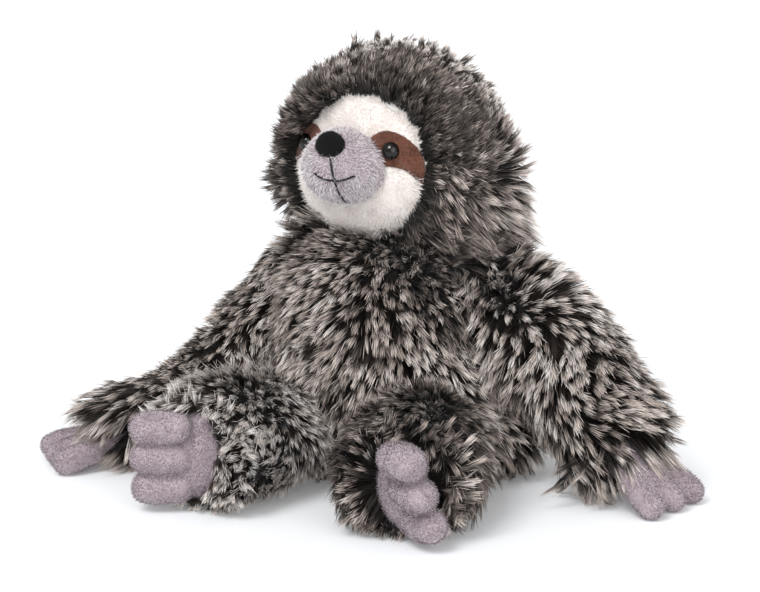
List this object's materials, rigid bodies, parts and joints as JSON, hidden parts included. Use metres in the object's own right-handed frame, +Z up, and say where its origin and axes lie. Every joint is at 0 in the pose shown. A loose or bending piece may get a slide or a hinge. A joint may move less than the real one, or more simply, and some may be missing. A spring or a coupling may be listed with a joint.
{
  "type": "plush sloth",
  "caption": "Sitting plush sloth in shaggy grey-brown fur, with a cream face, long spread arms, and soft mauve hands and feet.",
  "frame": {"origin": "middle of the flat seat under the body, on the surface the toy sits on", "axes": "+Z up, the body faces -Y, +X is the toy's left"},
  "size_m": [0.3784, 0.2358, 0.24],
  "materials": {
    "fur": "long shaggy pile, dark at the root and pale at the tip",
    "velboa": "short soft pile",
    "cream_velboa": "short soft pile",
    "rust_velboa": "short soft pile",
    "black_velour": "matt short pile",
    "thread": "twisted thread",
    "eye_plastic": "polished",
    "washer_plastic": "moulded",
    "filling": "loose fibre",
    "bean_pouch": "plain woven bag of beans"
  },
  "bodies": {
    "torso": {"torso_skin": "fur", "torso_stuffing": "filling", "bean_pouch": "bean_pouch"},
    "neck": {"neck_stuffing": "filling"},
    "head": {"head_hood": "fur", "head_stuffing": "filling", "face_panel": "cream_velboa", "muzzle": "velboa", "nose": "black_velour", "mouth_stitch": "thread", "left_eye_patch": "rust_velboa", "left_eye": "eye_plastic", "left_eye_washer": "washer_plastic", "right_eye_patch": "rust_velboa", "right_eye": "eye_plastic", "right_eye_washer": "washer_plastic"},
    "left_arm": {"left_arm_sleeve": "fur", "left_arm_stuffing": "filling"},
    "left_hand": {"left_hand": "velboa", "left_finger_1": "velboa", "left_finger_2": "velboa", "left_finger_3": "velboa"},
    "left_leg": {"left_leg_sleeve": "fur", "left_leg_stuffing": "filling", "left_foot_sole": "velboa", "left_toe_1": "velboa", "left_toe_2": "velboa", "left_toe_3": "velboa"},
    "right_arm": {"right_arm_sleeve": "fur", "right_arm_stuffing": "filling"},
    "right_hand": {"right_hand": "velboa", "right_finger_1": "velboa", "right_finger_2": "velboa", "right_finger_3": "velboa"},
    "right_leg": {"right_leg_sleeve": "fur", "right_leg_stuffing": "filling", "right_foot_sole": "velboa", "right_toe_1": "velboa", "right_toe_2": "velboa", "right_toe_3": "velboa"}
  },
  "joints": [
    {"name": "neck_turn", "type": "hinge", "parent": "torso", "child": "neck", "pos_m": [0, 0.012, 0.14], "axis": [0, 0, 1], "range_deg": [-40, 40], "stiffness_Nm_per_rad": 0.12},
    {"name": "neck_nod", "type": "hinge", "parent": "neck", "child": "head", "pos_m": [0, 0.012, 0.14], "axis": [0.9848, -0.1736, 0], "range_deg": [-14, 8], "stiffness_Nm_per_rad": 0.3},
    {"name": "left_shoulder_raise", "type": "hinge", "parent": "torso", "child": "left_arm", "pos_m": [0.06, 0.008, 0.108], "axis": [-0.2756, -0.9613, 0], "range_deg": [-3, 45]},
    {"name": "right_shoulder_raise", "type": "hinge", "parent": "torso", "child": "right_arm", "pos_m": [-0.06, 0.008, 0.108], "axis": [-0.6947, 0.7193, 0], "range_deg": [-3, 45]},
    {"name": "left_wrist_bend", "type": "hinge", "parent": "left_arm", "child": "left_hand", "pos_m": [0.14336, -0.0159, 0.034], "axis": [-0.2756, -0.9613, 0], "range_deg": [-15, 40]},
    {"name": "right_wrist_bend", "type": "hinge", "parent": "right_arm", "child": "right_hand", "pos_m": [-0.13012, -0.05972, 0.019], "axis": [-0.6947, 0.7193, 0], "range_deg": [-50, 5]},
    {"name": "left_hip_lift", "type": "hinge", "parent": "torso", "child": "left_leg", "pos_m": [0.052, -0.043, 0.0307], "axis": [-0.9816, -0.1908, 0], "range_deg": [0, 25]},
    {"name": "right_hip_lift", "type": "hinge", "parent": "torso", "child": "right_leg", "pos_m": [-0.035, -0.043, 0.0307], "axis": [-0.9877, 0.1564, 0], "range_deg": [0, 25]}
  ]
}
